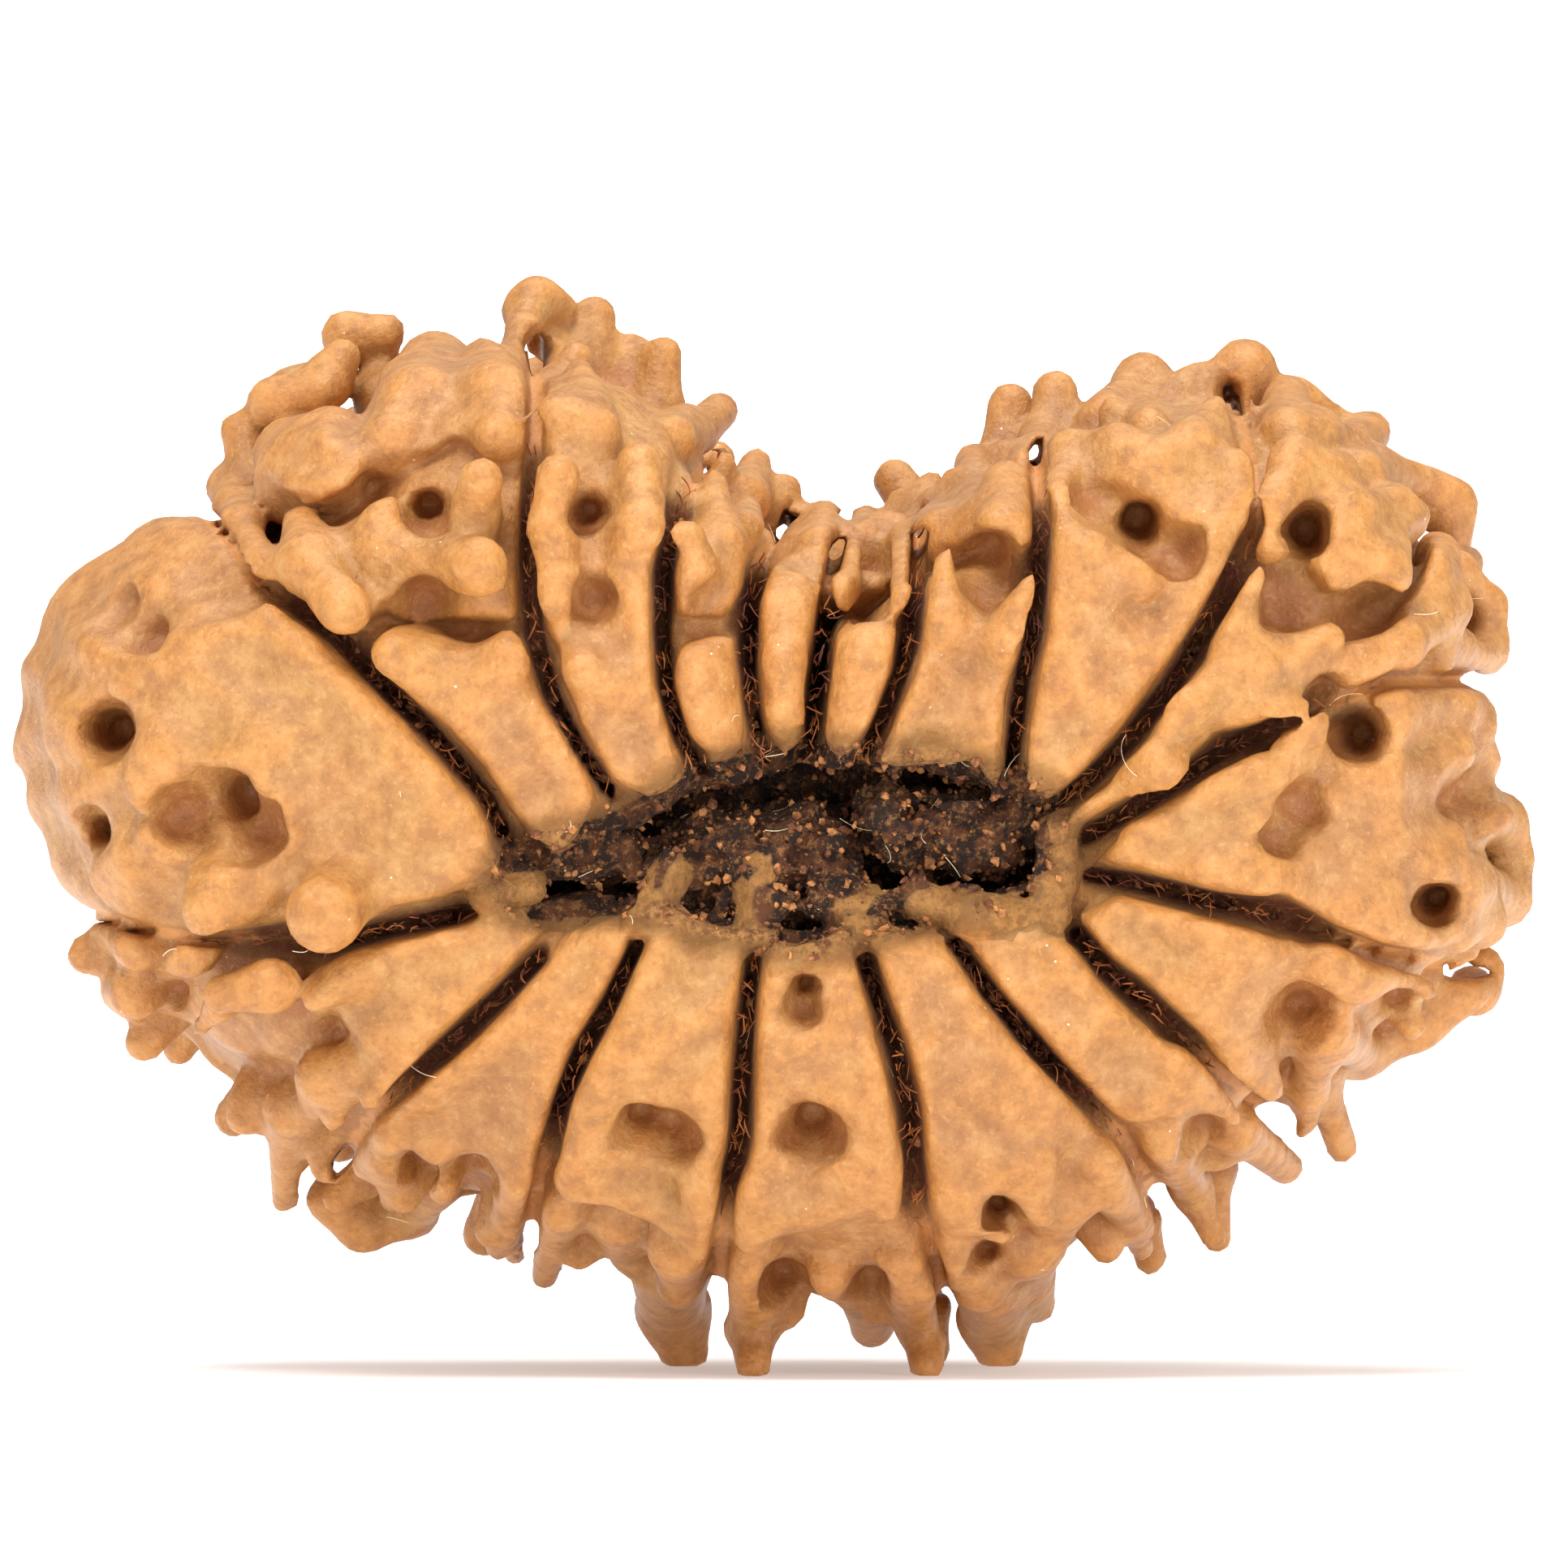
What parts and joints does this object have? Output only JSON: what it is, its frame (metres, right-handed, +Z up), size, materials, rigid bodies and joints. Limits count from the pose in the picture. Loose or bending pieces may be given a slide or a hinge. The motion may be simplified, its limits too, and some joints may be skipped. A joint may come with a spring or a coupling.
{
  "type": "rudraksha bead",
  "caption": "Kidney-shaped rudraksha bead: a woody fruit stone whose knobbly segments run from a slit mouth with dried pith round the rim to the back, parted by clefts.",
  "frame": {"origin": "middle of the bounding box in X and Y, on the ground the bead stands on", "axes": "+X along the bead's width, to the right as its mouth is seen; +Y from the mouth to the back; +Z up, towards the notch"},
  "size_m": [0.0378, 0.0218, 0.0271],
  "materials": {
    "bead_wood": "bare woody shell, faintly oiled"
  },
  "bodies": {
    "root": {"bead": "bead_wood"}
  },
  "joints": []
}
